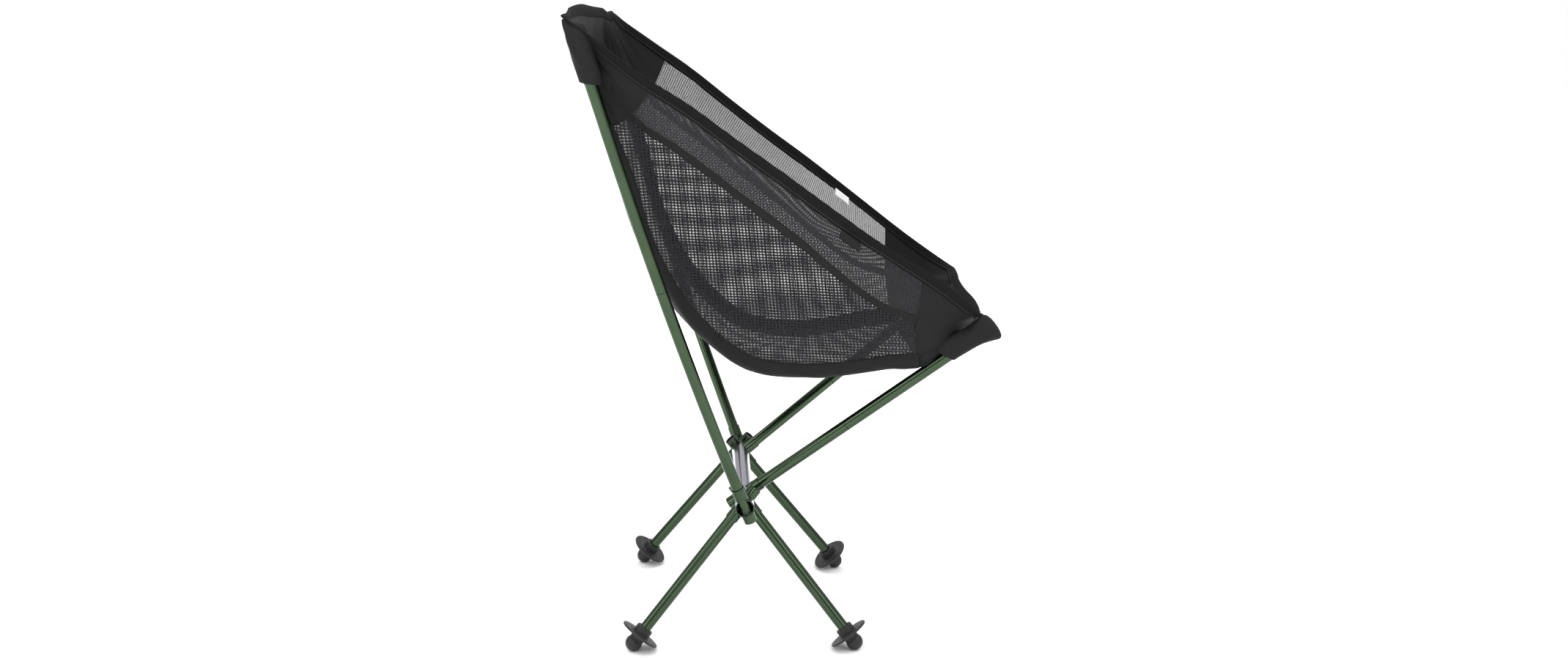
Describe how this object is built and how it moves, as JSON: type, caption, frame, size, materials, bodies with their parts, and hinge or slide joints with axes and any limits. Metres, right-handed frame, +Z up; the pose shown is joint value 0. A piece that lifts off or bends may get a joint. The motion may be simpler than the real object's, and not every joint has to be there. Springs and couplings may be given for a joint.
{
  "type": "folding camping chair",
  "caption": "Ultralight camping chair: splayed shock-corded pole legs in a cross tube hold up a bucket-shaped mesh seat sling.",
  "frame": {"origin": "on the ground, under the middle of the overall box", "axes": "+X forward, the way the sitter faces; +Y to the sitter's left; +Z up"},
  "size_m": [0.4582, 0.5, 0.6671],
  "materials": {
    "green_aluminium": "glossy green anodised",
    "lilac_aluminium": "polished, clear anodised with a faint lilac tint",
    "bare_aluminium": "plain",
    "black_plastic": "moulded, fine satin",
    "black_cloth": "plain weave",
    "black_mesh": "open knit mesh",
    "black_webbing": "ribbed tape",
    "white_label": "smooth woven label, left blank",
    "shock_cord": "braided elastic cord"
  },
  "bodies": {
    "seat_frame": {"care_label": "white_label", "center_mesh": "black_mesh", "cross_tube": "lilac_aluminium", "edge_tape_left": "black_webbing", "edge_tape_right": "black_webbing", "front_corner_left": "black_cloth", "front_corner_right": "black_cloth", "front_hem": "black_webbing", "front_panel": "black_cloth", "front_pocket_left": "black_cloth", "front_pocket_right": "black_cloth", "front_pole_lower_left": "green_aluminium", "front_pole_lower_right": "green_aluminium", "front_pole_upper_left": "green_aluminium", "front_pole_upper_right": "green_aluminium", "hanging_tab": "black_webbing", "head_hem": "black_webbing", "head_panel": "black_cloth", "mesh_band_left": "black_mesh", "mesh_band_right": "black_mesh", "pole_ferrules": "bare_aluminium", "pole_tips": "black_plastic", "rear_pocket_left": "black_cloth", "rear_pocket_right": "black_cloth", "rear_pole_lower_left": "green_aluminium", "rear_pole_lower_right": "green_aluminium", "rear_pole_upper_left": "green_aluminium", "rear_pole_upper_right": "green_aluminium", "seam_tape_left": "black_webbing", "seam_tape_right": "black_webbing", "seat_pole_cords": "shock_cord", "side_mesh_left": "black_mesh", "side_mesh_right": "black_mesh", "side_strip_left": "black_cloth", "side_strip_right": "black_cloth", "socket_front_leg_left": "green_aluminium", "socket_front_leg_right": "green_aluminium", "socket_front_pole_left": "green_aluminium", "socket_front_pole_right": "green_aluminium", "socket_plugs": "black_plastic", "socket_rear_leg_left": "green_aluminium", "socket_rear_leg_right": "green_aluminium", "socket_rear_pole_left": "green_aluminium", "socket_rear_pole_right": "green_aluminium"},
    "front_leg_left": {"front_leg_left": "green_aluminium", "front_leg_boot_left": "black_plastic", "front_leg_disc_left": "black_plastic", "front_leg_cord_left": "shock_cord"},
    "front_leg_right": {"front_leg_right": "green_aluminium", "front_leg_boot_right": "black_plastic", "front_leg_disc_right": "black_plastic", "front_leg_cord_right": "shock_cord"},
    "rear_leg_left": {"rear_leg_left": "green_aluminium", "rear_leg_boot_left": "black_plastic", "rear_leg_disc_left": "black_plastic", "rear_leg_cord_left": "shock_cord"},
    "rear_leg_right": {"rear_leg_right": "green_aluminium", "rear_leg_boot_right": "black_plastic", "rear_leg_disc_right": "black_plastic", "rear_leg_cord_right": "shock_cord"}
  },
  "joints": [
    {"name": "front_leg_slide_left", "type": "slide", "parent": "seat_frame", "child": "front_leg_left", "axis": [0.6258, 0.18, -0.7589], "range_m": [0, 0.033], "stiffness_N_per_m": 100, "springref_m": -0.1},
    {"name": "front_leg_slide_right", "type": "slide", "parent": "seat_frame", "child": "front_leg_right", "axis": [0.6258, -0.18, -0.7589], "range_m": [0, 0.033], "stiffness_N_per_m": 100, "springref_m": -0.1},
    {"name": "rear_leg_slide_left", "type": "slide", "parent": "seat_frame", "child": "rear_leg_left", "axis": [-0.605, 0.1571, -0.7806], "range_m": [0, 0.033], "stiffness_N_per_m": 100, "springref_m": -0.1},
    {"name": "rear_leg_slide_right", "type": "slide", "parent": "seat_frame", "child": "rear_leg_right", "axis": [-0.605, -0.1571, -0.7806], "range_m": [0, 0.033], "stiffness_N_per_m": 100, "springref_m": -0.1}
  ]
}
